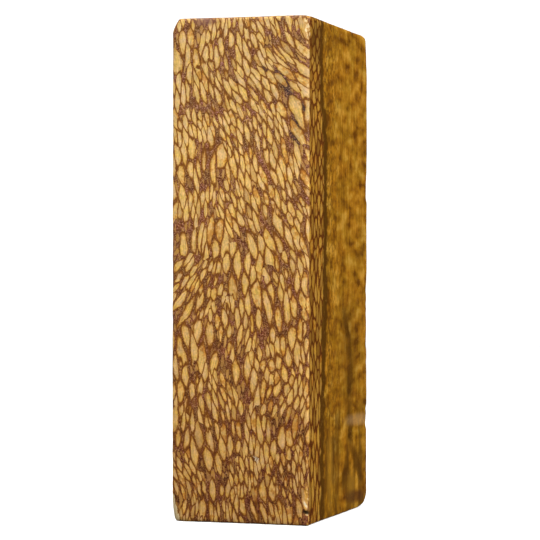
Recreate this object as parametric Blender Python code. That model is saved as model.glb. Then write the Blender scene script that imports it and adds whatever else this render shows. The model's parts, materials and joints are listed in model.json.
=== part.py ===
"""A sawn and hand-sanded block of figured hardwood, one solid piece of wood, standing on one sawn end.

Units are metres and +Z is up, along the grain. The origin is the middle of the foot.
-Y is the tangential face, where the ends of the broad rays show as pale lenses, and +X a radial face.
"""

import bmesh
import bpy
from mathutils import Matrix, Vector

# The sawn block
LENGTH = 0.125
WIDTH = 0.0355
DEPTH = 0.056

# The ends are sawn a little out of square, so the top sits this far along X from the foot.
LEAN = -0.00045

# Sandpaper has rounded every edge to this radius, modelled in this many facets.
EDGE_RADIUS = 0.0006
EDGE_FACETS = 3

# Each worn or chipped corner: the corner's side along X, Y and Z, then how far along X, Y and Z
# from that corner the wood is gone.
WORN_CORNERS = [
    ((-1, -1, 1), (0.0019, 0.0065, 0.0032)),
    ((-1, -1, -1), (0.0019, 0.0024, 0.0058)),
    ((1, -1, 1), (0.0018, 0.0045, 0.0009)),
    ((1, 1, 1), (0.0030, 0.0042, 0.0014)),
    ((1, 1, 1), (0.0010, 0.0020, 0.0120)),
    ((1, 1, -1), (0.0034, 0.0044, 0.0030)),
    ((1, 1, -1), (0.0042, 0.0085, 0.0013)),
    ((-1, 1, 1), (0.0022, 0.0030, 0.0016)),
    ((-1, 1, -1), (0.0016, 0.0022, 0.0024)),
]

# Finish of the wood under a thin satin seal
WOOD_COLOUR = (0.385, 0.190, 0.056, 1.0)
WOOD_ROUGHNESS = 0.45
WOOD_METALLIC = 0.0


def clear_scene():
    """Removes whatever the scene holds at the start."""
    for item in list(bpy.data.objects):
        bpy.data.objects.remove(item)


def wood_material():
    """Sealed hardwood in the mean colour of its straw-coloured rays and brown ground."""
    wood = bpy.data.materials.new("sealed_hardwood")
    wood.use_nodes = True
    shader = wood.node_tree.nodes["Principled BSDF"]
    shader.inputs["Base Color"].default_value = WOOD_COLOUR
    shader.inputs["Roughness"].default_value = WOOD_ROUGHNESS
    shader.inputs["Metallic"].default_value = WOOD_METALLIC
    wood.diffuse_color = WOOD_COLOUR
    return wood


def corner_point(side):
    """Where the three faces at this corner would meet if nothing were worn away."""
    return Vector((side[0] * WIDTH / 2, side[1] * DEPTH / 2, LENGTH / 2 + side[2] * LENGTH / 2))


def wear_corner(mesh, side, reach):
    """Cuts one corner off flat, through the three points that lie its reach along each edge."""
    corner = corner_point(side)
    outward = Vector([s / r for s, r in zip(side, reach)]).normalized()
    on_edge = corner - Vector((side[0] * reach[0], 0.0, 0.0))
    cut = bmesh.ops.bisect_plane(
        mesh,
        geom=mesh.verts[:] + mesh.edges[:] + mesh.faces[:],
        plane_co=on_edge,
        plane_no=outward,
        clear_outer=True,
    )
    rim = [item for item in cut["geom_cut"] if isinstance(item, bmesh.types.BMEdge)]
    bmesh.ops.contextual_create(mesh, geom=rim)


def lean_block(mesh):
    """Slides each level along X in proportion to its height above the middle; both ends stay level."""
    slide = Matrix.Identity(4)
    slide[0][2] = LEAN / LENGTH
    slide[0][3] = -LEAN / 2
    bmesh.ops.transform(mesh, matrix=slide, verts=mesh.verts[:])


def build_block():
    """The block: a sawn box, its edges sanded round, its corners worn, then set out of square."""
    mesh = bmesh.new()
    box = Matrix.Translation((0.0, 0.0, LENGTH / 2)) @ Matrix.Diagonal((WIDTH, DEPTH, LENGTH, 1.0))
    bmesh.ops.create_cube(mesh, size=1.0, matrix=box)
    bmesh.ops.bevel(
        mesh,
        geom=mesh.edges[:],
        offset=EDGE_RADIUS,
        segments=EDGE_FACETS,
        profile=0.5,
        affect="EDGES",
    )
    for side, reach in WORN_CORNERS:
        wear_corner(mesh, side, reach)
    lean_block(mesh)
    bmesh.ops.recalc_face_normals(mesh, faces=mesh.faces[:])

    data = bpy.data.meshes.new("wood_block")
    mesh.to_mesh(data)
    mesh.free()
    data.materials.append(wood_material())
    block = bpy.data.objects.new("wood_block", data)
    bpy.context.scene.collection.objects.link(block)
    return block


clear_scene()
build_block()
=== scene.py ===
import json
from math import cos, radians, sin

import bmesh
import bpy
from mathutils import Matrix, Vector

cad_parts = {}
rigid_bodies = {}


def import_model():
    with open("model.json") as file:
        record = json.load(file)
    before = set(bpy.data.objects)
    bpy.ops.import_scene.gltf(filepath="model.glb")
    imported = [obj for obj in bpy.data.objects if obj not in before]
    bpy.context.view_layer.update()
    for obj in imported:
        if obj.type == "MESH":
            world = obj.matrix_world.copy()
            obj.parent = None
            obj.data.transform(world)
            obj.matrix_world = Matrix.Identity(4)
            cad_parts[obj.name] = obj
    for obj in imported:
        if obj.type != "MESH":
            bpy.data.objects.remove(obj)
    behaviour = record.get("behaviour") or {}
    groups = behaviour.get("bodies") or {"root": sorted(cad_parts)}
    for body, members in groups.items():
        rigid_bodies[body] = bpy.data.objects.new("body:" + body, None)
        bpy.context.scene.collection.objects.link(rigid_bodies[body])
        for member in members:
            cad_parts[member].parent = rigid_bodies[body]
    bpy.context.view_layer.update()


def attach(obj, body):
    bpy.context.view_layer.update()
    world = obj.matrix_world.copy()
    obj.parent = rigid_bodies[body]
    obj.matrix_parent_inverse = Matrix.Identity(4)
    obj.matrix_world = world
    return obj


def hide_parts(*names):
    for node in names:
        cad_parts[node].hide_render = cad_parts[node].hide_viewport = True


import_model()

# The wood block
# One piece of figured hardwood, sawn to a rectangular block, its faces and edges sanded by hand and then
# sealed with a thin satin oil. It stands on one sawn end, with its long grain upright. Some corners and the
# near upright edge have lost splinters, and show raw, paler wood.

BLOCK_WIDTH = 0.0355
BLOCK_DEPTH = 0.056
BLOCK_LENGTH = 0.125
BLOCK_LEAN = -0.00045
EDGE_RADIUS = 0.0006
EDGE_FACETS = 3

# The mesh's step, and how far from the near upright edge the mesh is twice as fine, to carry its splinters
MESH_STEP = 0.0006
FINE_MESH_REACH = 0.0022

# Each worn corner: its side along X, Y and Z, how far along them the wood is gone, and how raw it is left
WORN_CORNERS = [
    ((-1, -1, 1), (0.0019, 0.0065, 0.0032), 0.25),
    ((-1, -1, -1), (0.0019, 0.0024, 0.0058), 1.0),
    ((-1, -1, -1), (0.0024, 0.0013, 0.0085), 1.0),
    ((1, -1, 1), (0.0018, 0.0045, 0.0009), 0.4),
    ((1, 1, 1), (0.0030, 0.0042, 0.0014), 0.45),
    ((1, 1, 1), (0.0010, 0.0020, 0.0120), 0.0),
    ((1, 1, -1), (0.0034, 0.0044, 0.0030), 0.0),
    ((1, 1, -1), (0.0042, 0.0085, 0.0013), 0.0),
    ((-1, 1, 1), (0.0022, 0.0030, 0.0016), 0.3),
    ((-1, 1, -1), (0.0016, 0.0022, 0.0024), 0.2),
]

# Splinters lost from the near upright edge, and hollows worn into the far one: height above the foot, half
# length and depth, and how far they reach from the edge
SPLINTERS = [(0.1207, 0.0036, 0.0009), (0.0078, 0.0036, 0.0005), (0.0031, 0.0007, 0.0009)]
HOLLOWS = [(0.0237, 0.0034, 0.0006), (0.0490, 0.0130, 0.0004), (0.0845, 0.0040, 0.0004)]
SPLINTER_REACH = 0.0012
HOLLOW_REACH = 0.0026

# How far wear reaches from every edge, the depth at which a broken place is fully raw, and the sharpest angle
# that sanding has left to see as a crease
EDGE_WEAR_REACH = 0.0012
RAW_DEPTH = 0.0005
CREASE_ANGLE = 50.0

# What lowers the surface: the vertex group it works in, the grain of its bumps and its greatest depth
BROKEN_DEPTH = 0.0014
WEAR = [("", 0.010, 0.00012), ("worn_edges", 0.0022, 0.0002), ("hollows", 0.0030, BROKEN_DEPTH),
        ("splinters", 0.0007, BROKEN_DEPTH)]


def linear(hex_colour):
    """An sRGB hex colour as the linear colour that a shader takes."""
    channels = [int(hex_colour[i:i + 2], 16) / 255 for i in (1, 3, 5)]
    return tuple(c / 12.92 if c <= 0.04045 else ((c + 0.055) / 1.055) ** 2.4 for c in channels) + (1.0,)


def add(tree, kind, links=None, stops=(), points=(), **settings):
    """Adds one node to a material, with its settings.

    links gives, by input, another node's output or a plain value; a Mix node takes numbers at 2 and 3,
    vectors at 4 and 5, and colours at 6 and 7. stops are a ramp's places and colours, and points are a
    curve's places and values.
    """
    node = tree.nodes.new(kind)
    for name, value in settings.items():
        setattr(node, name, value)
    for name, value in (links or {}).items():
        if isinstance(value, bpy.types.NodeSocket):
            tree.links.new(value, node.inputs[name])
        else:
            node.inputs[name].default_value = value
    if stops:
        ramp = node.color_ramp.elements
        for end in (0, -1):
            ramp[end].position, ramp[end].color = stops[end]
        for position, colour in stops[1:-1]:
            ramp.new(position).color = colour
    if points:
        node.mapping.clip_min_y = -1.0
        node.mapping.extend = "HORIZONTAL"
        curve = node.mapping.curves[0].points
        while len(curve) < len(points):
            curve.new(0.5, 0.0)
        for point, spot in zip(curve, points):
            point.location = spot
        node.mapping.update()
    return node


def choose(mesh_object, elements, wanted):
    """Selects the mesh's verts, edges or faces for which wanted says yes, and nothing else."""
    bpy.ops.mesh.select_mode(type={"verts": "VERT", "edges": "EDGE", "faces": "FACE"}[elements])
    bpy.ops.mesh.select_all(action="DESELECT")
    cells = bmesh.from_edit_mesh(mesh_object.data)
    for element in getattr(cells, elements):
        if wanted(element):
            element.select_set(True)
    bmesh.update_edit_mesh(mesh_object.data)


bpy.ops.object.select_all(action="DESELECT")
bpy.ops.mesh.primitive_cube_add(size=1.0, location=(0.0, 0.0, BLOCK_LENGTH / 2),
                                scale=(BLOCK_WIDTH, BLOCK_DEPTH, BLOCK_LENGTH))
block = bpy.context.object
block.name = "figured_wood_block"
bpy.ops.object.transform_apply(location=True, rotation=True, scale=True)
bpy.ops.object.mode_set(mode="EDIT")
bpy.ops.mesh.bevel(offset=EDGE_RADIUS, segments=EDGE_FACETS, profile=0.5, affect="EDGES")
for end in (-1, 1):
    choose(block, "verts", lambda vert: (vert.co.z - BLOCK_LENGTH / 2) * end > 0)
    bpy.ops.transform.translate(value=(end * BLOCK_LEAN / 2, 0.0, 0.0))

# Every long edge is halved, and each half is then cut to the mesh's step.
for axis, length in enumerate((BLOCK_WIDTH, BLOCK_DEPTH, BLOCK_LENGTH)):
    for parts in (2, round(length / MESH_STEP / 2)):
        choose(block, "edges",
               lambda edge: abs(edge.verts[0].co[axis] - edge.verts[1].co[axis]) > 2 * MESH_STEP)
        bpy.ops.mesh.subdivide(number_cuts=parts - 1)

near_edge = Vector((BLOCK_WIDTH / 2, -BLOCK_DEPTH / 2))
choose(block, "faces", lambda face: (face.calc_center_median().xy - near_edge).length < FINE_MESH_REACH)
bpy.ops.mesh.subdivide(number_cuts=1)

# Each worn corner is pressed flat, its rim is smoothed, and its points are marked as raw wood.
bmesh.from_edit_mesh(block.data).verts.layers.float.new("raw_wood")
for side, reach, rawness in WORN_CORNERS:
    corner = Vector((side[0] * BLOCK_WIDTH / 2 + side[2] * BLOCK_LEAN / 2, side[1] * BLOCK_DEPTH / 2,
                     BLOCK_LENGTH * (side[2] > 0)))
    rim = corner - Vector((side[0] * reach[0], 0.0, 0.0))
    outward = Vector([s / r for s, r in zip(side, reach)]).normalized()
    choose(block, "verts", lambda vert: (vert.co - rim).dot(outward) > 0)
    cells = bmesh.from_edit_mesh(block.data)
    raw = cells.verts.layers.float["raw_wood"]
    for vert in cells.verts:
        if vert.select:
            vert[raw] = max(vert[raw], rawness)
    bpy.ops.transform.resize(value=(1.0, 1.0, 0.0), orient_type="GLOBAL", orient_matrix_type="GLOBAL",
                             orient_matrix=outward.to_track_quat("Z", "Y").to_matrix(),
                             constraint_axis=(False, False, True), center_override=rim)
    bpy.ops.mesh.select_more()
    bpy.ops.mesh.vertices_smooth(factor=0.5, repeat=3)
bpy.ops.object.mode_set(mode="OBJECT")

# Sanding wore all the edges a little, hollows are worn into the far upright edge on +X, and splinters broke
# out of the near one.
worn = block.vertex_groups.new(name="worn_edges")
far_edge = Vector((BLOCK_WIDTH / 2, BLOCK_DEPTH / 2))
broken = [(block.vertex_groups.new(name="hollows"), far_edge, HOLLOWS, HOLLOW_REACH),
          (block.vertex_groups.new(name="splinters"), near_edge, SPLINTERS, SPLINTER_REACH)]
for vert in block.data.vertices:
    lean = (vert.co.z / BLOCK_LENGTH - 0.5) * BLOCK_LEAN
    below = sorted((BLOCK_WIDTH / 2 - abs(vert.co.x - lean), BLOCK_DEPTH / 2 - abs(vert.co.y),
                    min(vert.co.z, BLOCK_LENGTH - vert.co.z)))
    worn.add([vert.index], max(0.0, 1.0 - below[1] / EDGE_WEAR_REACH), "REPLACE")
    for group, edge, stretches, reach in broken:
        from_edge = (vert.co.xy - edge).length / reach
        depth = 0.0
        for height, half_length, deepest in stretches:
            along = (vert.co.z - height) / half_length
            if abs(along) < 1.0 and from_edge < 1.0:
                depth = max(depth, deepest * (1.0 - along ** 4) * (1.0 - from_edge ** 2))
        group.add([vert.index], depth / BROKEN_DEPTH, "REPLACE")
for group, grain, deepest in WEAR:
    clouds = bpy.data.textures.new(group or "hand_sanding", "CLOUDS")
    clouds.noise_scale = grain
    clouds.noise_depth = 1
    wear = block.modifiers.new(group or "hand_sanding", "DISPLACE")
    wear.texture = clouds
    wear.vertex_group = group
    wear.mid_level = 1.0
    wear.strength = deepest
    sound = [vert.co.copy() for vert in block.data.vertices]
    bpy.ops.object.modifier_apply(modifier=wear.name)

# The last wear was the splinters', so what it took off each point tells how raw the wood is there.
raw_wood = block.data.attributes["raw_wood"].data
for vert, before in zip(block.data.vertices, sound):
    lost = (before - vert.co).length
    raw_wood[vert.index].value = max(raw_wood[vert.index].value, min(1.0, lost / RAW_DEPTH))
bpy.ops.object.shade_smooth_by_angle(angle=radians(CREASE_ANGLE))

# The figure, in millimetres. Sliced across, the broad rays show as lenses. These are a lens's pitch across
# and along on the faces, on the radial sides and on the ends, and the pitch of the slivers between them and
# of the sheaves.
PER_METRE = 1000.0
LENGTH_MM = BLOCK_LENGTH * PER_METRE
DEPTH_MM = BLOCK_DEPTH * PER_METRE
FACE_PITCH = (1.64, 6.0, 1.0)
SIDE_PITCH = (2.3, 7.0, 1.0)
END_PITCH = (1.56, 14.0, 1.0)
SLIVER_PITCH = (0.9, 3.2, 1.0)
SHEAF_PITCH = (9.0, 9.5, 1.0)

# How irregularly they stand, and how pointed a lens is
RAY_SCATTER = 0.7
SHEAF_SCATTER = 0.9
LENS_SHAPE = 2.15

# How far the rays lean from upright, in degrees, by height in mm, at three stations across the face; a
# positive lean runs down to +X. Each sheaf also strays by up to this angle in radians.
STATIONS = (-13.0, -4.0, 12.0)
LEAN_LEFT = [(0, 2), (5, 2), (11, 12), (18, -5), (24, 3), (31, 2), (37, 4), (44, 12), (50, 14), (55, -32),
             (63, -22), (69, -16), (76, -7), (82, -5), (88, 4), (95, -3), (101, 8), (108, 9), (114, 10),
             (120, 0)]
LEAN_MIDDLE = [(0, 4), (5, 2), (11, 17), (18, 6), (24, -6), (31, 12), (37, 2), (44, -1), (50, 3), (56, 5),
               (63, 7), (69, 6), (76, 12), (82, 14), (88, 13), (95, 9), (101, 20), (108, 27), (114, 16),
               (120, 1)]
LEAN_RIGHT = [(0, 0), (5, -1), (11, 2), (18, 8), (24, 4), (31, -8), (37, 6), (44, -1), (50, 0), (56, 14),
              (63, 13), (69, 21), (76, 16), (82, 35), (88, 18), (95, 23), (101, 24), (108, 38), (114, 42),
              (120, 17)]
STRAY = 0.1

# Lace-figured hardwood, sanded smooth and sealed with a thin satin oil. It gives the eye straw-coloured ray
# ends in brown ground on the faces, amber wood on the radial sides, and a soft low gloss, a little stronger
# on the dense rays.
wood = bpy.data.materials.new("sealed_lace_figured_hardwood")
wood.use_nodes = True
tree = wood.node_tree
tree.nodes.clear()
place = add(tree, "ShaderNodeTexCoord")
mm = add(tree, "ShaderNodeVectorMath", {0: place.outputs["Object"], "Scale": PER_METRE},
         operation="SCALE").outputs[0]
at = add(tree, "ShaderNodeSeparateXYZ", {0: mm})
up = add(tree, "ShaderNodeMath", {0: at.outputs["Z"], 1: LENGTH_MM}, operation="DIVIDE",
         use_clamp=True).outputs[0]

# The radial sides and the ends are cut across the rays. The face's figure wraps round the sanded upright
# edges, so a side starts a little way in from them.
CROSS_CUT_NORMAL = 0.72
WRAPPED_EDGE = 0.9
facing = add(tree, "ShaderNodeVectorMath", {0: place.outputs["Normal"]}, operation="ABSOLUTE").outputs[0]
facing = add(tree, "ShaderNodeSeparateXYZ", {0: facing})
side_cut = add(tree, "ShaderNodeMath", {0: facing.outputs["X"], 1: CROSS_CUT_NORMAL},
               operation="GREATER_THAN").outputs[0]
off_edge = add(tree, "ShaderNodeMath", {0: at.outputs["Y"]}, operation="ABSOLUTE").outputs[0]
off_edge = add(tree, "ShaderNodeMath", {0: off_edge, 1: DEPTH_MM / 2 - WRAPPED_EDGE},
               operation="LESS_THAN").outputs[0]
side_cut = add(tree, "ShaderNodeMath", {0: side_cut, 1: off_edge}, operation="MULTIPLY").outputs[0]
end_cut = add(tree, "ShaderNodeMath", {0: facing.outputs["Z"], 1: CROSS_CUT_NORMAL},
              operation="GREATER_THAN").outputs[0]
cross_cut = add(tree, "ShaderNodeMath", {0: side_cut, 1: end_cut}, operation="ADD").outputs[0]
face_cut = add(tree, "ShaderNodeMath", {0: 1.0, 1: cross_cut}, operation="SUBTRACT").outputs[0]

# The grain wanders in broad swells, and the ray outlines fray on the scale of the wood's cells. Each shifts
# the figure: its size, its fineness, and how far it shifts along X, Y and Z.
MEAN_NOISE = (0.5, 0.5, 0.5)
WANDER = (18.0, 1.0, (6.0, 5.0, 6.0))
FRAY = (1.1, 2.0, (0.40, 0.40, 0.9))
flow = mm
for size, detail, reach in (WANDER, FRAY):
    shift = add(tree, "ShaderNodeTexNoise", {"Vector": mm, "Scale": 1 / size,
                                             "Detail": detail}).outputs["Color"]
    shift = add(tree, "ShaderNodeVectorMath", {0: shift, 1: MEAN_NOISE}, operation="SUBTRACT").outputs[0]
    shift = add(tree, "ShaderNodeVectorMath", {0: shift, 1: reach}, operation="MULTIPLY").outputs[0]
    flow = add(tree, "ShaderNodeVectorMath", {0: flow, 1: shift}, operation="ADD").outputs[0]

# The three numbers of a cut run across a ray, along it and into the wood. On the sides the rays get shorter
# toward the top, by this share for each millimetre.
SIDE_SHORTENING = 1 / 200
flow_at = add(tree, "ShaderNodeSeparateXYZ", {0: flow})
across, into, along = flow_at.outputs
face = add(tree, "ShaderNodeCombineXYZ", {0: across, 1: along, 2: into}).outputs[0]
drawn_out = add(tree, "ShaderNodeMath", {0: along, 1: SIDE_SHORTENING}, operation="MULTIPLY").outputs[0]
drawn_out = add(tree, "ShaderNodeMath", {0: drawn_out, 1: along, 2: along},
                operation="MULTIPLY_ADD").outputs[0]
side = add(tree, "ShaderNodeCombineXYZ", {0: into, 1: drawn_out, 2: across}).outputs[0]
cut = add(tree, "ShaderNodeMix", {0: side_cut, 4: face, 5: side}, data_type="VECTOR").outputs[1]
cut = add(tree, "ShaderNodeMix", {0: end_cut, 4: cut, 5: flow}, data_type="VECTOR").outputs[1]
pitch = add(tree, "ShaderNodeMix", {0: side_cut, 4: FACE_PITCH, 5: SIDE_PITCH}, data_type="VECTOR").outputs[1]
pitch = add(tree, "ShaderNodeMix", {0: end_cut, 4: pitch, 5: END_PITCH}, data_type="VECTOR").outputs[1]

# The two cuts of each pair lie far apart in the wood, so their rays don't match.
FAR_CUT_SHIFT = (31.0, 170.0, 0.0)
inward = add(tree, "ShaderNodeSeparateXYZ", {0: cut}).outputs["Z"]
far = add(tree, "ShaderNodeMath", {0: inward, 1: 0.0}, operation="GREATER_THAN").outputs[0]
shift = add(tree, "ShaderNodeVectorMath", {0: FAR_CUT_SHIFT, "Scale": far}, operation="SCALE").outputs[0]
cut = add(tree, "ShaderNodeVectorMath", {0: cut, 1: shift}, operation="ADD").outputs[0]

# Brown ground spreads in patches, where the rays are small or missing, and there is more of it toward the
# foot. The rays' rims are ragged with the grit of the wood's pores.
PATCH_SIZE = 7.0
GRIT_SIZE = 0.42
RAGGED = 0.12
CROSS_CUT_LACK = 0.14
lack = add(tree, "ShaderNodeMapRange", {"Value": at.outputs["Z"], "From Min": 10.0, "From Max": 90.0,
                                        "To Min": 0.17, "To Max": 0.05}).outputs[0]
lack = add(tree, "ShaderNodeMix", {"Factor": cross_cut, 2: lack, 3: CROSS_CUT_LACK}).outputs[0]
patch = add(tree, "ShaderNodeTexNoise", {"Vector": flow, "Scale": 1 / PATCH_SIZE,
                                         "Detail": 1.0}).outputs["Fac"]
patch = add(tree, "ShaderNodeMapRange", {"Value": patch, "From Min": 0.45, "From Max": 0.70,
                                         "To Max": face_cut}).outputs[0]
scarce = add(tree, "ShaderNodeMath", {0: patch, 1: 0.60, 2: lack}, operation="MULTIPLY_ADD").outputs[0]
grit = add(tree, "ShaderNodeTexNoise", {"Vector": mm, "Scale": 1 / GRIT_SIZE, "Detail": 1.0}).outputs["Fac"]
ragged = add(tree, "ShaderNodeMath", {0: grit, 1: 2 * RAGGED, 2: -RAGGED},
             operation="MULTIPLY_ADD").outputs[0]

# The rays stand in sheaves, and each sheaf has its own lean and coarseness. A ray belongs to the sheaf that
# its middle lies in, so at every point the nearest two sheaves are drawn, and whichever has a ray there
# shows. The lowest share of the block has finer rays.
FINEST = 0.64
COARSEST = 1.38
FOOT_SHARE = 0.25
FOOT_FINENESS = 0.84
DIAGONAL = radians(45)

# Centres closer than this are one sheaf's, and this is how deep a point without a ray lies inside one.
SAME_CENTRE = 0.01
NO_RAY = -0.2
sheaves = add(tree, "ShaderNodeVectorMath", {0: cut, 1: SHEAF_PITCH}, operation="DIVIDE").outputs[0]
drawn = []
for order in ("F1", "F2"):
    sheaf = add(tree, "ShaderNodeTexVoronoi", {"Vector": sheaves, "Scale": 1.0, "Randomness": SHEAF_SCATTER},
                voronoi_dimensions="2D", feature=order)
    heart = add(tree, "ShaderNodeVectorMath", {0: sheaf.outputs["Position"], 1: SHEAF_PITCH},
                operation="MULTIPLY").outputs[0]
    heart_at = add(tree, "ShaderNodeSeparateXYZ", {0: heart})
    heart_up = add(tree, "ShaderNodeMath", {0: heart_at.outputs["Y"], 1: LENGTH_MM}, operation="DIVIDE",
                   use_clamp=True).outputs[0]
    leans = [add(tree, "ShaderNodeFloatCurve", {"Value": heart_up},
                 points=[(height / LENGTH_MM, radians(degrees)) for height, degrees in table]).outputs[0]
             for table in (LEAN_LEFT, LEAN_MIDDLE, LEAN_RIGHT)]
    lean = leans[0]
    for index in (1, 2):
        toward = add(tree, "ShaderNodeMapRange", {"Value": heart_at.outputs["X"],
                                                  "From Min": STATIONS[index - 1],
                                                  "From Max": STATIONS[index]}).outputs[0]
        lean = add(tree, "ShaderNodeMix", {"Factor": toward, 2: lean, 3: leans[index]}).outputs[0]
    own = add(tree, "ShaderNodeSeparateColor", {0: sheaf.outputs["Color"]})
    stray = add(tree, "ShaderNodeMath", {0: own.outputs[0], 1: 2 * STRAY, 2: -STRAY},
                operation="MULTIPLY_ADD").outputs[0]
    lean = add(tree, "ShaderNodeMath", {0: lean, 1: stray}, operation="ADD").outputs[0]
    lean = add(tree, "ShaderNodeMath", {0: lean, 1: face_cut}, operation="MULTIPLY").outputs[0]
    coarse = add(tree, "ShaderNodeMapRange", {"Value": own.outputs[1], "To Min": FINEST,
                                              "To Max": COARSEST}).outputs[0]
    fine = add(tree, "ShaderNodeMapRange", {"Value": heart_up, "From Max": FOOT_SHARE,
                                            "To Min": FOOT_FINENESS, "To Max": 1.0}).outputs[0]
    coarse = add(tree, "ShaderNodeMath", {0: coarse, 1: fine}, operation="MULTIPLY").outputs[0]
    coarse = add(tree, "ShaderNodeMix", {"Factor": face_cut, 2: 1.0, 3: coarse}).outputs[0]
    grain = add(tree, "ShaderNodeVectorMath", {0: pitch, "Scale": coarse}, operation="SCALE").outputs[0]
    leaned = add(tree, "ShaderNodeVectorRotate", {"Vector": cut, "Center": heart, "Angle": lean},
                 rotation_type="Z_AXIS", invert=True).outputs[0]

    # Cut across, the rays pack like lenses in a diamond lattice, pointed at both ends. A body is how deep
    # inside a ray the point lies, from 0 at its rim.
    lattice = add(tree, "ShaderNodeVectorMath", {0: leaned, 1: grain}, operation="DIVIDE").outputs[0]
    lattice = add(tree, "ShaderNodeMapping", {"Vector": lattice, "Rotation": (0.0, 0.0, DIAGONAL)}).outputs[0]
    ray, next_ray = [
        add(tree, "ShaderNodeTexVoronoi", {"Vector": lattice, "Scale": 1.0, "Randomness": RAY_SCATTER,
                                           "Exponent": LENS_SHAPE},
            voronoi_dimensions="2D", feature=feature, distance="MINKOWSKI") for feature in ("F1", "F2")]
    chance = add(tree, "ShaderNodeSeparateColor", {0: ray.outputs["Color"]})
    body = add(tree, "ShaderNodeMath", {0: ray.outputs["Distance"], 1: next_ray.outputs["Distance"]},
               operation="DIVIDE").outputs[0]
    body = add(tree, "ShaderNodeMath", {0: 1.0, 1: body}, operation="SUBTRACT").outputs[0]
    body = add(tree, "ShaderNodeMath", {0: body, 1: ragged}, operation="ADD").outputs[0]
    shrunk = add(tree, "ShaderNodeMath", {0: scarce, 1: chance.outputs[0]}, operation="MULTIPLY").outputs[0]
    body = add(tree, "ShaderNodeMath", {0: body, 1: shrunk}, operation="SUBTRACT").outputs[0]

    # The ray is this sheaf's own if this sheaf is also the one nearest to the ray's middle. On the cross
    # cuts, where nothing leans, all rays are the nearest sheaf's.
    middle = add(tree, "ShaderNodeMapping", {"Vector": ray.outputs["Position"],
                                             "Rotation": (0.0, 0.0, -DIAGONAL)}).outputs[0]
    middle = add(tree, "ShaderNodeVectorMath", {0: middle, 1: grain}, operation="MULTIPLY").outputs[0]
    middle = add(tree, "ShaderNodeVectorRotate", {"Vector": middle, "Center": heart, "Angle": lean},
                 rotation_type="Z_AXIS").outputs[0]
    middle = add(tree, "ShaderNodeVectorMath", {0: middle, 1: SHEAF_PITCH}, operation="DIVIDE").outputs[0]
    owner = add(tree, "ShaderNodeTexVoronoi", {"Vector": middle, "Scale": 1.0, "Randomness": SHEAF_SCATTER},
                voronoi_dimensions="2D", feature="F1").outputs["Position"]
    apart = add(tree, "ShaderNodeVectorMath", {0: owner, 1: sheaf.outputs["Position"]},
                operation="DISTANCE").outputs["Value"]
    owned = add(tree, "ShaderNodeMath", {0: apart, 1: SAME_CENTRE}, operation="LESS_THAN").outputs[0]
    owned = add(tree, "ShaderNodeMix", {"Factor": cross_cut, 2: owned, 3: float(order == "F1")}).outputs[0]
    body = add(tree, "ShaderNodeMix", {"Factor": owned, 2: NO_RAY, 3: body}).outputs[0]
    drawn.append((body, leaned, chance.outputs[1], chance.outputs[2]))

# Where rays of both sheaves meet, the deeper one shows, less what the other takes from it.
(body, leaned, luck, depth), (other_body, other_leaned, other_luck, other_depth) = drawn
upper = add(tree, "ShaderNodeMath", {0: body, 1: other_body}, operation="MAXIMUM").outputs[0]
lower = add(tree, "ShaderNodeMath", {0: body, 1: other_body}, operation="MINIMUM").outputs[0]
lower = add(tree, "ShaderNodeMath", {0: lower, 1: 0.0}, operation="MAXIMUM").outputs[0]
inside = add(tree, "ShaderNodeMath", {0: upper, 1: lower}, operation="SUBTRACT").outputs[0]
other = add(tree, "ShaderNodeMath", {0: other_body, 1: body}, operation="GREATER_THAN").outputs[0]
leaned = add(tree, "ShaderNodeMix", {0: other, 4: leaned, 5: other_leaned}, data_type="VECTOR").outputs[1]
luck = add(tree, "ShaderNodeMix", {"Factor": other, 2: luck, 3: other_luck}).outputs[0]
depth = add(tree, "ShaderNodeMix", {"Factor": other, 2: depth, 3: other_depth}).outputs[0]
pale = add(tree, "ShaderNodeMapRange", {"Value": inside, "From Min": 0.07, "From Max": 0.33},
           interpolation_type="SMOOTHSTEP").outputs[0]
ground = add(tree, "ShaderNodeMapRange", {"Value": inside, "From Min": 0.06, "From Max": -0.04},
             interpolation_type="SMOOTHSTEP").outputs[0]

# Rays: honey gold at the rim and straw at the heart, a few of them rusty or sunken, with a fine fibre along
# them. Tints and casts multiply a colour.
RUST_SIZE = 1.1
FIBRE_PITCH = (0.25, 2.2)
SUNKEN_RAY = "#A87438"
ray_colour = add(tree, "ShaderNodeValToRGB", {0: inside}, stops=[
    (0.15, linear("#A26425")), (0.25, linear("#D09445")), (0.36, linear("#E0AE5E")),
    (0.60, linear("#EABD70"))])
rust = add(tree, "ShaderNodeTexNoise", {"Vector": mm, "Scale": 1 / RUST_SIZE, "Detail": 1.0}).outputs["Fac"]
rust = add(tree, "ShaderNodeMath", {0: rust, 1: 1.7, 2: -0.78}, operation="MULTIPLY_ADD").outputs[0]
rust = add(tree, "ShaderNodeMath", {0: rust, 1: luck}, operation="ADD").outputs[0]
tint = add(tree, "ShaderNodeValToRGB", {0: rust}, stops=[
    (0.0, (0.80, 0.60, 0.38, 1.0)), (0.10, (0.92, 0.80, 0.62, 1.0)), (0.25, (1.0, 1.0, 0.95, 1.0)),
    (0.9, (1.0, 1.0, 1.05, 1.0)), (1.0, (1.0, 1.03, 1.25, 1.0))])
ray_colour = add(tree, "ShaderNodeVectorMath", {0: ray_colour.outputs[0], 1: tint.outputs[0]},
                 operation="MULTIPLY").outputs[0]
sunken = add(tree, "ShaderNodeMapRange", {"Value": depth, "From Min": 0.12, "From Max": 0.0,
                                          "To Max": 0.4}).outputs[0]
ray_colour = add(tree, "ShaderNodeMix", {0: sunken, 6: ray_colour, 7: linear(SUNKEN_RAY)},
                 data_type="RGBA").outputs[2]
fibre = add(tree, "ShaderNodeMapping", {"Vector": leaned,
                                        "Scale": (1 / FIBRE_PITCH[0], 1 / FIBRE_PITCH[1], 1.0)}).outputs[0]
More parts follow.
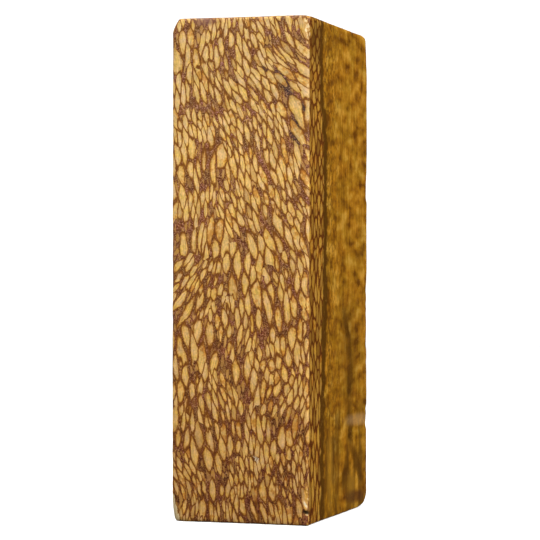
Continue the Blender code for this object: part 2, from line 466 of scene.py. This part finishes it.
fibre = add(tree, "ShaderNodeTexNoise", {"Vector": fibre, "Scale": 1.0, "Detail": 2.0}).outputs["Fac"]
fibre = add(tree, "ShaderNodeMath", {0: grit, 1: 0.45, 2: fibre}, operation="MULTIPLY_ADD").outputs[0]
fibre = add(tree, "ShaderNodeMapRange", {"Value": fibre, "From Min": 0.45, "From Max": 1.0, "To Min": 0.62,
                                         "To Max": 1.22}).outputs[0]
ray_colour = add(tree, "ShaderNodeVectorMath", {0: ray_colour, "Scale": fibre}, operation="SCALE").outputs[0]

# Ground: brown wood with fine pale specks that are painted glints of the satin oil, a purple or olive cast,
# darker toward the foot as painted shade of the light from above, and dark walls round the rays.
GLINT_SPECK_SIZE = 0.27
CAST_SIZE = 4.0
PURPLE_CAST = (1.10, 0.97, 1.24, 1.0)
OLIVE_CAST = (0.86, 0.90, 0.62, 1.0)
RAY_WALL = "#7C460E"
ground_tone_and_glints = add(tree, "ShaderNodeTexNoise", {"Vector": mm, "Scale": 1 / GLINT_SPECK_SIZE, "Detail": 1.0}).outputs["Fac"]
# The ground is painted darker toward the foot, a painted shade of the light from above.
foot_shade = add(tree, "ShaderNodeMapRange", {"Value": at.outputs["Z"], "From Min": 100.0, "From Max": 15.0,
                                        "To Min": -0.02, "To Max": 0.04}).outputs[0]
brown = add(tree, "ShaderNodeMath", {0: ground_tone_and_glints, 1: foot_shade}, operation="SUBTRACT").outputs[0]
# The palest stop of this ramp is a painted glint of the oil on the ground's specks.
brown = add(tree, "ShaderNodeValToRGB", {0: brown}, stops=[
    (0.34, linear("#52280A")), (0.48, linear("#7D4825")), (0.60, linear("#94603B")),
    (0.72, linear("#BC8E6C"))])
cast = add(tree, "ShaderNodeTexNoise", {"Vector": mm, "Scale": 1 / CAST_SIZE, "Detail": 1.0}).outputs["Fac"]
cast = add(tree, "ShaderNodeMapRange", {"Value": cast, "From Min": 0.35, "From Max": 0.65}).outputs[0]
cast = add(tree, "ShaderNodeMix", {0: cast, 6: PURPLE_CAST, 7: OLIVE_CAST}, data_type="RGBA").outputs[2]
brown = add(tree, "ShaderNodeVectorMath", {0: brown.outputs[0], 1: cast}, operation="MULTIPLY").outputs[0]
dark = add(tree, "ShaderNodeMix", {0: ground, 6: linear(RAY_WALL), 7: brown}, data_type="RGBA").outputs[2]

# Slivers: small rays, part of them buried, break up the wider ground.
SLIVER_SCATTER = 0.9
SLIVER = "#CC984C"
sliver = add(tree, "ShaderNodeVectorMath", {0: leaned, 1: SLIVER_PITCH}, operation="DIVIDE").outputs[0]
sliver = add(tree, "ShaderNodeMapping", {"Vector": sliver, "Rotation": (0.0, 0.0, DIAGONAL)}).outputs[0]
near, next_near = [
    add(tree, "ShaderNodeTexVoronoi", {"Vector": sliver, "Scale": 1.0, "Randomness": SLIVER_SCATTER},
        voronoi_dimensions="2D", feature=feature) for feature in ("F1", "F2")]
sliver_chance = add(tree, "ShaderNodeSeparateColor", {0: near.outputs["Color"]}).outputs
sliver = add(tree, "ShaderNodeMath", {0: near.outputs["Distance"], 1: next_near.outputs["Distance"]},
             operation="DIVIDE").outputs[0]
sliver = add(tree, "ShaderNodeMath", {0: sliver_chance[0], 1: -0.5, 2: sliver},
             operation="MULTIPLY_ADD").outputs[0]
sliver = add(tree, "ShaderNodeMapRange", {"Value": sliver, "From Min": 0.36, "From Max": 0.12,
                                          "To Max": sliver_chance[1]},
             interpolation_type="SMOOTHSTEP").outputs[0]
clear = add(tree, "ShaderNodeMapRange", {"Value": inside, "From Min": 0.02, "From Max": -0.08,
                                         "To Max": face_cut}).outputs[0]
sliver = add(tree, "ShaderNodeMath", {0: sliver, 1: clear}, operation="MULTIPLY").outputs[0]
dark = add(tree, "ShaderNodeMix", {0: sliver, 6: dark, 7: linear(SLIVER)}, data_type="RGBA").outputs[2]

# On the radial sides and the ends the same wood is darker and more amber, with part of its rays buried.
SIDE_RAY_CAST = (0.70, 0.59, 0.23)
SIDE_GROUND_CAST = (0.60, 0.44, 0.02)
BURIED_RAY = "#6E4208"
side_ray = add(tree, "ShaderNodeVectorMath", {0: ray_colour, 1: SIDE_RAY_CAST},
               operation="MULTIPLY").outputs[0]
buried = add(tree, "ShaderNodeMapRange", {"Value": depth, "From Min": 0.6, "From Max": 0.0,
                                          "To Max": 0.65}).outputs[0]
side_ray = add(tree, "ShaderNodeMix", {0: buried, 6: side_ray, 7: linear(BURIED_RAY)},
               data_type="RGBA").outputs[2]
side_dark = add(tree, "ShaderNodeVectorMath", {0: dark, 1: SIDE_GROUND_CAST}, operation="MULTIPLY").outputs[0]
ray_colour = add(tree, "ShaderNodeMix", {0: cross_cut, 6: ray_colour, 7: side_ray},
                 data_type="RGBA").outputs[2]
dark = add(tree, "ShaderNodeMix", {0: cross_cut, 6: dark, 7: side_dark}, data_type="RGBA").outputs[2]
figure = add(tree, "ShaderNodeMix", {0: pale, 6: dark, 7: ray_colour}, data_type="RGBA").outputs[2]

# The face is painted darker toward its foot, a painted shade of the light falling from above, and a little
# darker at its top; the tones go up the block.
UNCHANGED = (1.0, 1.0, 1.0, 1.0)
height_shade = add(tree, "ShaderNodeMath", {0: at.outputs["Z"], 1: LENGTH_MM}, operation="DIVIDE").outputs[0]
height_shade = add(tree, "ShaderNodeValToRGB", {0: height_shade}, stops=[
    (0.04, (0.84, 0.77, 0.71, 1.0)), (0.3, (1.0, 0.97, 0.91, 1.0)), (0.5, (0.98, 0.98, 0.95, 1.0)),
    (0.7, (1.03, 1.06, 1.10, 1.0)), (0.90, (0.90, 0.94, 1.01, 1.0))]).outputs[0]
height_shade = add(tree, "ShaderNodeMix", {0: cross_cut, 6: height_shade, 7: UNCHANGED}, data_type="RGBA").outputs[2]
figure = add(tree, "ShaderNodeVectorMath", {0: figure, 1: height_shade}, operation="MULTIPLY").outputs[0]

# The wood's hue wanders between yellow and pink from ray to ray.
HUE_SIZE = 2.0
YELLOW_TINT = (1.02, 1.01, 0.72, 1.0)
PINK_TINT = (0.99, 0.99, 1.28, 1.0)
hue = add(tree, "ShaderNodeTexNoise", {"Vector": mm, "Scale": 1 / HUE_SIZE, "Detail": 1.0}).outputs["Fac"]
hue = add(tree, "ShaderNodeMapRange", {"Value": hue, "From Min": 0.30, "From Max": 0.70}).outputs[0]
hue = add(tree, "ShaderNodeMix", {0: hue, 6: YELLOW_TINT, 7: PINK_TINT}, data_type="RGBA").outputs[2]
figure = add(tree, "ShaderNodeVectorMath", {0: figure, 1: hue}, operation="MULTIPLY").outputs[0]

# Behind a dark growth line the radial wood is plain amber: broad soft flecks, faint upright fibres, and short
# dark pores close behind the line, where the rays' dark walls still show as a net. Each pattern's pitch is
# given along X, Y and Z.
FLECK_PITCH = (3.0, 7.0, 3.0)
STREAK_PITCH = (1.6, 1.6, 8.0)
BLOTCH_PITCH = (5.0, 7.0, 4.0)
SHORT_PORE_PITCH = (1.2, 1.2, 1.1)
SMUDGE_PITCH = (3.0, 4.5, 14.0)
COOL_AMBER_CAST = (0.97, 1.02, 1.1, 1.0)
WARM_AMBER_CAST = (1.04, 0.97, 0.8, 1.0)
SHORT_PORE = "#5E3600"
NET_WALL = "#6A3F00"
SMUDGE = "#5C3704"
patterns = []
for source, sizes, detail in ((mm, FLECK_PITCH, 2.0), (flow, STREAK_PITCH, 1.0), (mm, BLOTCH_PITCH, 1.0),
                              (mm, SHORT_PORE_PITCH, 1.0), (flow, SMUDGE_PITCH, 1.0)):
    scaled = add(tree, "ShaderNodeMapping", {"Vector": source,
                                             "Scale": [1 / size for size in sizes]}).outputs[0]
    patterns.append(add(tree, "ShaderNodeTexNoise", {"Vector": scaled, "Scale": 1.0,
                                                     "Detail": detail}).outputs["Fac"])
fleck, streak, blotch, short_pore, smudge = patterns
amber = add(tree, "ShaderNodeMath", {0: fleck, 1: 2.5, 2: streak}, operation="MULTIPLY_ADD").outputs[0]
amber = add(tree, "ShaderNodeMapRange", {"Value": amber, "From Min": 1.2, "From Max": 2.3}).outputs[0]
amber = add(tree, "ShaderNodeValToRGB", {0: amber}, stops=[
    (0.0, linear("#6E4000")), (0.35, linear("#9D6708")), (0.65, linear("#B57D15")), (1.0, linear("#D09A36"))])
cast = add(tree, "ShaderNodeMapRange", {"Value": blotch, "From Min": 0.35, "From Max": 0.65}).outputs[0]
cast = add(tree, "ShaderNodeMix", {0: cast, 6: COOL_AMBER_CAST, 7: WARM_AMBER_CAST},
           data_type="RGBA").outputs[2]
amber = add(tree, "ShaderNodeVectorMath", {0: amber.outputs[0], 1: cast}, operation="MULTIPLY").outputs[0]
close = add(tree, "ShaderNodeMapRange", {"Value": at.outputs["Y"], "From Min": 4.0, "From Max": -10.0,
                                         "To Min": 0.05, "To Max": 0.7}).outputs[0]
short_pore = add(tree, "ShaderNodeMapRange", {"Value": short_pore, "From Min": 0.56, "From Max": 0.66,
                                              "To Max": close}).outputs[0]
amber = add(tree, "ShaderNodeMix", {0: short_pore, 6: amber, 7: linear(SHORT_PORE)},
            data_type="RGBA").outputs[2]
net = add(tree, "ShaderNodeMapRange", {"Value": at.outputs["Y"], "From Min": 6.0, "From Max": -10.0,
                                       "To Min": 0.06, "To Max": 0.65}).outputs[0]
net = add(tree, "ShaderNodeMapRange", {"Value": pale, "To Min": net, "To Max": 0.0}).outputs[0]
amber = add(tree, "ShaderNodeMix", {0: net, 6: amber, 7: linear(NET_WALL)}, data_type="RGBA").outputs[2]

# Dark smudges run up from the foot.
SMUDGE_STRENGTH = 0.7
foot = add(tree, "ShaderNodeMapRange", {"Value": at.outputs["Z"], "From Min": 32.0,
                                        "From Max": 22.0}).outputs[0]
smudge = add(tree, "ShaderNodeMapRange", {"Value": smudge, "From Min": 0.46, "From Max": 0.58,
                                          "To Max": foot}).outputs[0]
smudge = add(tree, "ShaderNodeMath", {0: smudge, 1: SMUDGE_STRENGTH}, operation="MULTIPLY").outputs[0]
amber = add(tree, "ShaderNodeMix", {0: smudge, 6: amber, 7: linear(SMUDGE)}, data_type="RGBA").outputs[2]

# The growth lines: height, and how far back from the block's middle, in mm. The broad flecks fray them, over
# this width in all. The inner one shows only low on the block, in blotches.
OUTER_LINE = [(0, -15.5), (20, -15.8), (40, -14.5), (60, -13.5), (90, -13.0), (98, -14.0), (108, -16.5),
              (125, -17.0)]
INNER_LINE = [(0, 10.5), (18, 10.5), (32, 10.5), (44, 9.0), (52, 5.0), (60, 4.0)]
LINE_SPREAD = 20.0
LINE_FRAY = 5.0
LINE_BROWN = "#5A3600"
LATE_WOOD_EDGE = 1.2
frayed = add(tree, "ShaderNodeMath", {0: fleck, 1: LINE_FRAY, 2: at.outputs["Y"]},
             operation="MULTIPLY_ADD").outputs[0]
behind = []
for table in (OUTER_LINE, INNER_LINE):
    line = add(tree, "ShaderNodeFloatCurve", {"Value": up},
               points=[(height / LENGTH_MM, back / LINE_SPREAD) for height, back in table]).outputs[0]
    line = add(tree, "ShaderNodeMath", {0: line, 1: -LINE_SPREAD, 2: frayed},
               operation="MULTIPLY_ADD").outputs[0]
    behind.append(add(tree, "ShaderNodeMath", {0: line, 1: LINE_FRAY / 2}, operation="SUBTRACT").outputs[0])
late = add(tree, "ShaderNodeMapRange", {"Value": behind[0], "From Min": 0.0, "From Max": LATE_WOOD_EDGE},
           interpolation_type="SMOOTHSTEP").outputs[0]
late = add(tree, "ShaderNodeMath", {0: late, 1: cross_cut}, operation="MULTIPLY").outputs[0]
colour = add(tree, "ShaderNodeMix", {0: late, 6: figure, 7: amber}, data_type="RGBA").outputs[2]
low = add(tree, "ShaderNodeMapRange", {"Value": at.outputs["Z"], "From Min": 58.0, "From Max": 48.0,
                                       "To Max": 1.4}).outputs[0]
off_foot = add(tree, "ShaderNodeMapRange", {"Value": at.outputs["Z"], "From Min": 14.0, "From Max": 20.0,
                                            "To Max": fleck}).outputs[0]
low = add(tree, "ShaderNodeMath", {0: low, 1: off_foot}, operation="MULTIPLY").outputs[0]
blotch = add(tree, "ShaderNodeMapRange", {"Value": blotch, "From Min": 0.62, "From Max": 0.42,
                                          "To Min": 0.35}).outputs[0]
low = add(tree, "ShaderNodeMath", {0: low, 1: blotch}, operation="MULTIPLY").outputs[0]
for line, half_width, dark_half, strength, shown in ((behind[0], 2.5, 0.9, 0.95, 1.0),
                                                     (behind[1], 4.0, 1.2, 1.3, low)):
    line = add(tree, "ShaderNodeMath", {0: line}, operation="ABSOLUTE").outputs[0]
    line = add(tree, "ShaderNodeMapRange", {"Value": line, "From Min": half_width, "From Max": dark_half,
                                            "To Max": strength}, interpolation_type="SMOOTHSTEP").outputs[0]
    line = add(tree, "ShaderNodeMath", {0: line, 1: cross_cut}, operation="MULTIPLY").outputs[0]
    line = add(tree, "ShaderNodeMath", {0: line, 1: shown}, operation="MULTIPLY").outputs[0]
    colour = add(tree, "ShaderNodeMix", {0: line, 6: colour, 7: linear(LINE_BROWN)},
                 data_type="RGBA").outputs[2]

# Raw wood: where a splinter is gone the wood is pale and dry, broken by golden fibres. One splinter was torn
# off so thin that it left no hollow: where, its half sizes, and its turn from upright.
TORN_AT = (16.9, -28.0, 121.9)
TORN_HALF_SIZE = (0.8, 2.4, 2.9)
TORN_TURN = -13.0
STRAND_PITCH = (0.36, 0.36, 0.7)
GOLDEN_FIBRE = "#C89244"
DRY_WOOD = "#F4DAA4"
strand = add(tree, "ShaderNodeMapping", {"Vector": mm,
                                         "Scale": [1 / size for size in STRAND_PITCH]}).outputs[0]
strand = add(tree, "ShaderNodeTexNoise", {"Vector": strand, "Scale": 1.0, "Detail": 2.0}).outputs["Fac"]
strand = add(tree, "ShaderNodeMath", {0: strand, 1: 2.0, 2: -0.5}, operation="MULTIPLY_ADD").outputs[0]
torn = add(tree, "ShaderNodeMapping", {"Vector": mm, "Location": TORN_AT, "Scale": TORN_HALF_SIZE,
                                       "Rotation": (0.0, radians(TORN_TURN), 0.0)},
           vector_type="TEXTURE").outputs[0]
torn = add(tree, "ShaderNodeVectorMath", {0: torn}, operation="LENGTH").outputs["Value"]
torn = add(tree, "ShaderNodeMapRange", {"Value": torn, "From Min": 1.1, "From Max": 0.6,
                                        "To Max": 0.7}).outputs[0]
splinter = add(tree, "ShaderNodeAttribute", attribute_name="raw_wood").outputs["Fac"]
torn = add(tree, "ShaderNodeMath", {0: torn, 1: splinter}, operation="MAXIMUM").outputs[0]
torn = add(tree, "ShaderNodeMath", {0: torn, 1: strand}, operation="ADD").outputs[0]
bared = add(tree, "ShaderNodeMapRange", {"Value": torn, "From Min": 0.80, "From Max": 1.05,
                                         "To Max": 0.9}).outputs[0]
fresh = add(tree, "ShaderNodeMapRange", {"Value": torn, "From Min": 1.05, "From Max": 1.35}).outputs[0]
fresh = add(tree, "ShaderNodeMix", {0: fresh, 6: linear(GOLDEN_FIBRE), 7: linear(DRY_WOOD)},
            data_type="RGBA").outputs[2]
colour = add(tree, "ShaderNodeMix", {0: bared, 6: colour, 7: fresh}, data_type="RGBA").outputs[2]

# Marks on the surface, each an ellipsoid: where, half sizes and turn in mm and degrees, colour, strength, and
# how far the rays and the pale specks, which are painted glints, keep it out
MARKS = [
    ("first stain", (6.2, -28.0, 112.3), (0.8, 4.0, 1.8), (0.0, -34.0, 0.0), "#2C2A30", 0.85, 0.8),
    ("long stain", (10.5, -28.0, 109.4), (1.3, 4.0, 4.2), (0.0, -38.0, 0.0), "#2A2830", 0.9, 0.75),
    ("third stain", (12.6, -28.0, 105.6), (1.2, 4.0, 2.8), (0.0, -30.0, 0.0), "#2C2A30", 0.85, 0.75),
    ("edge stain", (16.4, -28.0, 102.0), (0.6, 4.0, 1.8), (0.0, -30.0, 0.0), "#2C2A30", 0.85, 0.7),
    ("side stain", (14.4, -28.0, 98.8), (1.4, 4.0, 3.2), (0.0, -12.0, 0.0), "#2C2B2C", 0.9, 0.8),
    ("lowest stain", (14.2, -28.0, 94.6), (1.2, 4.0, 3.0), (0.0, -34.0, 0.0), "#2C2B2C", 0.85, 0.75),
    ("top bruise", (-9.4, -28.0, 124.0), (3.6, 4.0, 1.3), (0.0, 0.0, 0.0), "#7C5246", 0.7, 0.0),
    ("dim strip top", (18.0, -22.0, 119.0), (3.0, 4.6, 8.0), (0.0, 0.0, 0.0), "#4E2C02", 0.5, 0.0),
    ("dim low side", (18.0, 10.0, 42.0), (4.0, 11.0, 18.0), (0.0, 0.0, 0.0), "#6A4206", 0.42, 0.0),
    ("hazy smear", (18.0, 20.0, 23.4), (4.0, 17.0, 1.9), (-2.0, 0.0, 0.0), "#C8A270", 0.34, 0.0),
    ("upright foot streak", (18.0, -2.5, 13.0), (4.0, 4.0, 15.0), (0.0, 0.0, 0.0), "#5C3704", 0.5, 0.0),
    ("foot arch, left leg", (18.0, 6.5, 11.5), (4.0, 2.6, 9.0), (-30.0, 0.0, 0.0), "#5C3704", 0.68, 0.0),
    ("foot arch, right leg", (18.0, 17.0, 12.5), (4.0, 2.6, 11.5), (50.0, 0.0, 0.0), "#5C3704", 0.72, 0.0),
    ("foot arch, heart", (18.0, 12.0, 7.5), (4.0, 4.2, 5.0), (0.0, 0.0, 0.0), "#B27F22", 0.55, 0.0),
    ("bright foot band", (18.0, -8.5, 12.0), (4.0, 3.4, 13.0), (0.0, 0.0, 0.0), "#B98422", 0.5, 0.0),
    # The radial side is darker along its foot corner.
    ("dark foot corner", (18.0, 17.0, 3.4), (4.0, 13.0, 2.2), (-3.0, 0.0, 0.0), "#54301C", 0.6, 0.0),
    ("golden edge", (17.3, -28.0, 8.0), (0.5, 2.0, 3.4), (0.0, 0.0, 0.0), "#E0A43A", 0.55, 0.0),
    ("flake", (17.1, -28.0, 5.3), (0.34, 2.4, 1.0), (0.0, -25.0, 0.0), "#F4E2B8", 0.85, 0.0),
    # The pit's very dark colour is painted shade in the hollow left by the lowest splinter.
    ("pit", (17.3, -28.0, 3.4), (1.2, 2.2, 0.6), (0.0, 20.0, 0.0), "#241204", 0.95, 0.0),
]
shut = add(tree, "ShaderNodeMapRange", {"Value": ground_tone_and_glints, "From Min": 0.44, "From Max": 0.62}).outputs[0]
shut = add(tree, "ShaderNodeMath", {0: pale, 1: shut}, operation="MAXIMUM").outputs[0]
for name, centre, half_size, turn, hex_colour, strength, kept_out in MARKS:
    mark = add(tree, "ShaderNodeMapping", {"Vector": mm, "Location": centre, "Scale": half_size,
                                           "Rotation": [radians(angle) for angle in turn]},
               label=name, vector_type="TEXTURE").outputs[0]
    mark = add(tree, "ShaderNodeVectorMath", {0: mark}, operation="LENGTH").outputs["Value"]
    mark = add(tree, "ShaderNodeMapRange", {"Value": mark, "From Min": 1.15, "From Max": 0.35,
                                            "To Max": strength},
               interpolation_type="SMOOTHSTEP").outputs[0]
    gaps = add(tree, "ShaderNodeMath", {0: shut, 1: -kept_out, 2: 1.0}, operation="MULTIPLY_ADD").outputs[0]
    mark = add(tree, "ShaderNodeMath", {0: mark, 1: gaps}, operation="MULTIPLY").outputs[0]
    colour = add(tree, "ShaderNodeMix", {0: mark, 6: colour, 7: linear(hex_colour)},
                 data_type="RGBA").outputs[2]

# A short crooked scratch runs down to the right, low on the face: a dark groove, pale and torn at its lower
# end. Its X falls by SCRATCH_FALL for each millimetre up, and it bends at every BEND of height. For each
# groove: its X at the foot, its middle, how far it reaches from there, and its colour
BEND = 0.45
SCRATCH_FALL = 0.5
GROOVE_HALF_WIDTH = 0.22
GROOVE_FADE = 0.6
GROOVE_STRENGTH = 0.8
GROOVES = [(12.0, (3.2, -28.0, 17.4), 2.6, "#3A200C"), (12.6, (4.3, -28.0, 15.9), 1.3, "#E6D3B0"),
           (13.2, (4.6, -28.0, 16.0), 1.0, "#E6D3B0")]
crooked = add(tree, "ShaderNodeMath", {0: at.outputs["Z"], 1: BEND}, operation="PINGPONG").outputs[0]
crooked = add(tree, "ShaderNodeMath", {0: at.outputs["Z"], 1: SCRATCH_FALL, 2: crooked},
              operation="MULTIPLY_ADD").outputs[0]
crooked = add(tree, "ShaderNodeMath", {0: at.outputs["X"], 1: crooked}, operation="ADD").outputs[0]
broken_up = add(tree, "ShaderNodeMapRange", {"Value": ground_tone_and_glints, "From Min": 0.40, "From Max": 0.60,
                                             "To Min": 0.30}).outputs[0]
for offset, centre, reach, hex_colour in GROOVES:
    groove = add(tree, "ShaderNodeMath", {0: crooked, 1: offset, 2: GROOVE_HALF_WIDTH},
                 operation="COMPARE").outputs[0]
    ends = add(tree, "ShaderNodeVectorMath", {0: mm, 1: centre}, operation="DISTANCE").outputs["Value"]
    ends = add(tree, "ShaderNodeMapRange", {"Value": ends, "From Min": reach, "From Max": reach - GROOVE_FADE,
                                            "To Max": GROOVE_STRENGTH}).outputs[0]
    groove = add(tree, "ShaderNodeMath", {0: groove, 1: ends}, operation="MULTIPLY").outputs[0]
    groove = add(tree, "ShaderNodeMath", {0: groove, 1: broken_up}, operation="MULTIPLY").outputs[0]
    colour = add(tree, "ShaderNodeMix", {0: groove, 6: colour, 7: linear(hex_colour)},
                 data_type="RGBA").outputs[2]

# The oil lies thin, so the dense rays shine a little more than the open ground, and stand a little proud.
GROUND_ROUGHNESS = 0.50
RAY_ROUGHNESS = 0.40
GRIT_RELIEF = 0.4
RELIEF_STRENGTH = 0.6
RELIEF_HEIGHT = 0.00003
OIL_SPECULAR = 0.25
rough = add(tree, "ShaderNodeMapRange", {"Value": pale, "To Min": GROUND_ROUGHNESS,
                                         "To Max": RAY_ROUGHNESS}).outputs[0]
relief = add(tree, "ShaderNodeMath", {0: grit, 1: GRIT_RELIEF, 2: pale}, operation="MULTIPLY_ADD").outputs[0]
relief = add(tree, "ShaderNodeBump", {"Height": relief, "Strength": RELIEF_STRENGTH,
                                      "Distance": RELIEF_HEIGHT}).outputs[0]
shader = add(tree, "ShaderNodeBsdfPrincipled", {"Base Color": colour, "Roughness": rough, "Normal": relief})
shader.inputs["Specular IOR Level"].default_value = OIL_SPECULAR
add(tree, "ShaderNodeOutputMaterial", {"Surface": shader.outputs[0]})
block.data.materials.append(wood)
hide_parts("wood_block")
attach(block, "root")

# The floor
# A sheet of matt white studio paper. It glows a little so that it stays white under the block, and it neither
# lights the wood nor shows in its gloss.
FLOOR_SIZE = 3.0
PAPER_WHITE = 0.9
PAPER_ROUGHNESS = 0.9
PAPER_GLOW = 0.6
bpy.ops.object.select_all(action="DESELECT")
bpy.ops.mesh.primitive_plane_add(size=FLOOR_SIZE, location=(0.0, 0.0, 0.0))
floor = bpy.context.object
floor.name = "floor"
paper = bpy.data.materials.new("white_studio_paper")
paper.use_nodes = True
sheet = paper.node_tree.nodes["Principled BSDF"]
sheet.inputs["Base Color"].default_value = (PAPER_WHITE, PAPER_WHITE, PAPER_WHITE, 1.0)
sheet.inputs["Roughness"].default_value = PAPER_ROUGHNESS
sheet.inputs["Emission Color"].default_value = linear("#FFFFFF")
sheet.inputs["Emission Strength"].default_value = PAPER_GLOW
floor.visible_glossy = False
floor.visible_diffuse = False
floor.data.materials.append(paper)

# The lights
# Two square softboxes in a white room that is darker below: one at the left of the camera for the near face,
# and one at the right for the radial side. For each: its turn from -Y towards +X in degrees, its height,
# distance and size in metres, and its power in watts.
SOFTBOXES = [("front_left_softbox", -17.0, 0.46, 0.24, 0.35, 2.2),
             ("right_softbox", 70.0, 0.34, 0.6, 0.6, 4.1)]
middle = Vector((0.0, 0.0, BLOCK_LENGTH / 2))
for name, azimuth, height, distance, size, power in SOFTBOXES:
    spot = middle + Vector((sin(radians(azimuth)), -cos(radians(azimuth)), 0.0)) * distance
    spot.z = height
    bpy.ops.object.light_add(type="AREA", location=spot)
    lamp = bpy.context.object
    lamp.name = name
    lamp.data.size = size
    lamp.data.energy = power
    lamp.rotation_euler = (middle - spot).to_track_quat("-Z", "Y").to_euler()

# The room's light comes from everywhere, more from above; the gloss sees almost none of it, and behind the
# block the camera sees plain white.
WHITE = linear("#FFFFFF")
ROOM_BELOW = 0.15
ROOM_ABOVE = 0.5
ROOM_IN_GLOSS = 0.004
BACKDROP = 1.2
studio = bpy.data.worlds.new("studio")
bpy.context.scene.world = studio
studio.use_nodes = True
sky = studio.node_tree
sky.nodes.clear()
path = add(sky, "ShaderNodeLightPath")
outward = add(sky, "ShaderNodeTexCoord").outputs["Generated"]
rise = add(sky, "ShaderNodeSeparateXYZ", {0: outward}).outputs["Z"]
glow = add(sky, "ShaderNodeMapRange", {"Value": rise, "From Min": -0.3, "From Max": 0.5, "To Min": ROOM_BELOW,
                                       "To Max": ROOM_ABOVE}).outputs[0]
room = add(sky, "ShaderNodeBackground", {"Color": WHITE, "Strength": glow}).outputs[0]
mirrored = add(sky, "ShaderNodeBackground", {"Color": WHITE, "Strength": ROOM_IN_GLOSS}).outputs[0]
white = add(sky, "ShaderNodeBackground", {"Color": WHITE, "Strength": BACKDROP}).outputs[0]
seen = add(sky, "ShaderNodeMixShader", {0: path.outputs["Is Glossy Ray"], 1: room, 2: mirrored}).outputs[0]
seen = add(sky, "ShaderNodeMixShader", {0: path.outputs["Is Camera Ray"], 1: seen, 2: white}).outputs[0]
add(sky, "ShaderNodeOutputWorld", {"Surface": seen})
bpy.context.scene.view_settings.view_transform = "Standard"

# The camera
# A long lens at the height of the block's middle, turned round to the block's right in degrees, rolled in
# degrees, and tipped by this rise for each metre ahead. It stands back from AIM, and a little aside.
CAMERA_TURN = 17.25
CAMERA_ROLL = 0.276
CAMERA_TIP = 0.0013
AIM = (0.000225, 0.0, 0.0618)
STAND_BACK = 0.5952
STAND_ASIDE = 0.00101
SENSOR_WIDTH = 36.0
FOCAL_PIXELS = 2309.0
PICTURE_PIXELS = 540.0
turn = radians(CAMERA_TURN)
ahead = Vector((-sin(turn), cos(turn), 0.0))
aside = Vector((cos(turn), sin(turn), 0.0))
look = ahead + Vector((0.0, 0.0, CAMERA_TIP))
roll = Matrix.Rotation(radians(CAMERA_ROLL), 4, "Z").to_quaternion()
bpy.ops.object.camera_add(location=Vector(AIM) - ahead * STAND_BACK - aside * STAND_ASIDE)
camera = bpy.context.object
camera.name = "camera"
camera.data.sensor_width = SENSOR_WIDTH
camera.data.lens = FOCAL_PIXELS / PICTURE_PIXELS * SENSOR_WIDTH
camera.data.clip_start = 0.05
camera.rotation_euler = (look.to_track_quat("-Z", "Y") @ roll).to_euler()
bpy.context.scene.camera = camera
